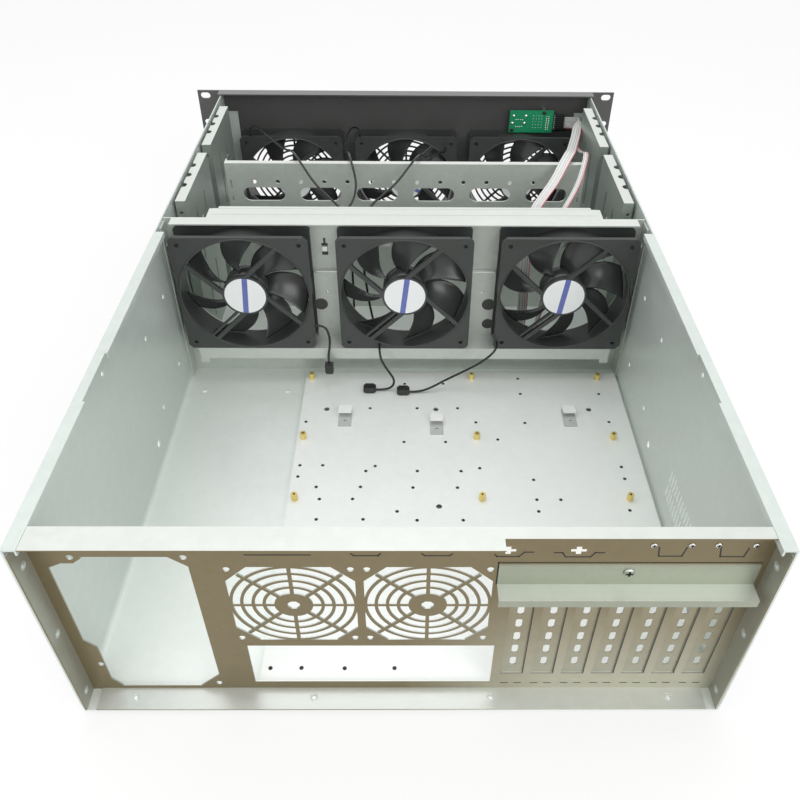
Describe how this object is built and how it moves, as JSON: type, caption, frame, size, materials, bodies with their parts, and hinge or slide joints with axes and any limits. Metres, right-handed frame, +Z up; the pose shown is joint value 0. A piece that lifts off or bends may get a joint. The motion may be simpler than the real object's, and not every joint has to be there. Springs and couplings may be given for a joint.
{
  "type": "empty rackmount server case",
  "caption": "Empty open-topped steel rack server case with slotted ears, a wall of fans, drive bay walls, a raised board plate and a vented rear panel.",
  "frame": {"origin": "under the middle of the case, on the surface it stands on", "axes": "+Z up, the rear panel towards +Y, the rack ears at -Y, the power supply side at +X"},
  "size_m": [0.4826, 0.6506, 0.1822],
  "materials": {
    "bright_metal": "plated",
    "button_plastic": "moulded black",
    "clip_plastic": "moulded light grey",
    "zinc_steel": "galvanised sheet",
    "board_green": "solder-masked laminate",
    "fan_plastic": "moulded black",
    "lead_plastic": "thin insulation",
    "plug_plastic": "moulded black",
    "black_paint": "fine black powder coat",
    "ribbon_plastic": "flat grey insulation",
    "bracket_steel": "galvanised sheet",
    "brass_post": "plain",
    "clear_plastic": "clear"
  },
  "bodies": {
    "case": {"board_pillars": "bright_metal", "board_switches": "button_plastic", "cable_clips": "clip_plastic", "chassis_tray": "zinc_steel", "clamp_screw": "bright_metal", "control_board": "board_green", "cross_member": "zinc_steel", "data_socket_1": "bright_metal", "data_socket_2": "bright_metal", "drive_rail": "zinc_steel", "fan_shelf": "zinc_steel", "fan_wall": "zinc_steel", "front_fan_frame_1": "fan_plastic", "front_fan_frame_2": "fan_plastic", "front_fan_frame_3": "fan_plastic", "front_fan_lead_1": "lead_plastic", "front_fan_lead_2": "lead_plastic", "front_fan_lead_3": "lead_plastic", "front_fan_plug_1": "plug_plastic", "front_fan_plug_2": "plug_plastic", "front_fan_plug_3": "plug_plastic", "front_panel": "black_paint", "header_plug": "plug_plastic", "mid_fan_frame_1": "fan_plastic", "mid_fan_frame_2": "fan_plastic", "mid_fan_frame_3": "fan_plastic", "mid_fan_lead_1": "lead_plastic", "mid_fan_lead_2": "lead_plastic", "mid_fan_lead_3": "lead_plastic", "mid_fan_plug_1": "plug_plastic", "mid_fan_plug_2": "plug_plastic", "mid_fan_plug_3": "plug_plastic", "motherboard_plate": "zinc_steel", "narrow_ribbon": "ribbon_plastic", "pin_header": "button_plastic", "rear_panel": "zinc_steel", "ribbon_plug": "plug_plastic", "side_bracket_1": "bracket_steel", "side_bracket_2": "bracket_steel", "side_bracket_3": "bracket_steel", "side_bracket_4": "bracket_steel", "slot_blank_1": "zinc_steel", "slot_blank_2": "zinc_steel", "slot_blank_3": "zinc_steel", "slot_blank_4": "zinc_steel", "slot_blank_5": "zinc_steel", "slot_blank_6": "zinc_steel", "slot_blank_7": "zinc_steel", "slot_clamp_cover": "zinc_steel", "standoffs": "brass_post", "status_lights": "clear_plastic", "wide_ribbon": "ribbon_plastic"},
    "mid_rotor_1": {"mid_fan_rotor_1": "fan_plastic"},
    "mid_rotor_2": {"mid_fan_rotor_2": "fan_plastic"},
    "mid_rotor_3": {"mid_fan_rotor_3": "fan_plastic"},
    "front_rotor_1": {"front_fan_rotor_1": "fan_plastic"},
    "front_rotor_2": {"front_fan_rotor_2": "fan_plastic"},
    "front_rotor_3": {"front_fan_rotor_3": "fan_plastic"},
    "power_button": {"power_button": "button_plastic"},
    "reset_button": {"reset_button": "button_plastic"}
  },
  "joints": [
    {"name": "mid_rotor_1_spin", "type": "hinge", "parent": "case", "child": "mid_rotor_1", "pos_m": [0.1442, -0.01815, 0.1093], "axis": [0, 1, 0], "continuous": true},
    {"name": "mid_rotor_2_spin", "type": "hinge", "parent": "case", "child": "mid_rotor_2", "pos_m": [0, -0.01815, 0.1093], "axis": [0, 1, 0], "continuous": true},
    {"name": "mid_rotor_3_spin", "type": "hinge", "parent": "case", "child": "mid_rotor_3", "pos_m": [-0.1442, -0.01815, 0.1093], "axis": [0, 1, 0], "continuous": true},
    {"name": "front_rotor_1_spin", "type": "hinge", "parent": "case", "child": "front_rotor_1", "pos_m": [0.1349, -0.31015, 0.0719], "axis": [0, 1, 0], "continuous": true},
    {"name": "front_rotor_2_spin", "type": "hinge", "parent": "case", "child": "front_rotor_2", "pos_m": [0, -0.31015, 0.0719], "axis": [0, 1, 0], "continuous": true},
    {"name": "front_rotor_3_spin", "type": "hinge", "parent": "case", "child": "front_rotor_3", "pos_m": [-0.1349, -0.31015, 0.0719], "axis": [0, 1, 0], "continuous": true},
    {"name": "power_button_press", "type": "slide", "parent": "case", "child": "power_button", "axis": [0, 1, 0], "range_m": [0, 0.0006], "stiffness_N_per_m": 600, "springref_m": -0.0003},
    {"name": "reset_button_press", "type": "slide", "parent": "case", "child": "reset_button", "axis": [0, 1, 0], "range_m": [0, 0.0006], "stiffness_N_per_m": 600, "springref_m": -0.0003}
  ]
}
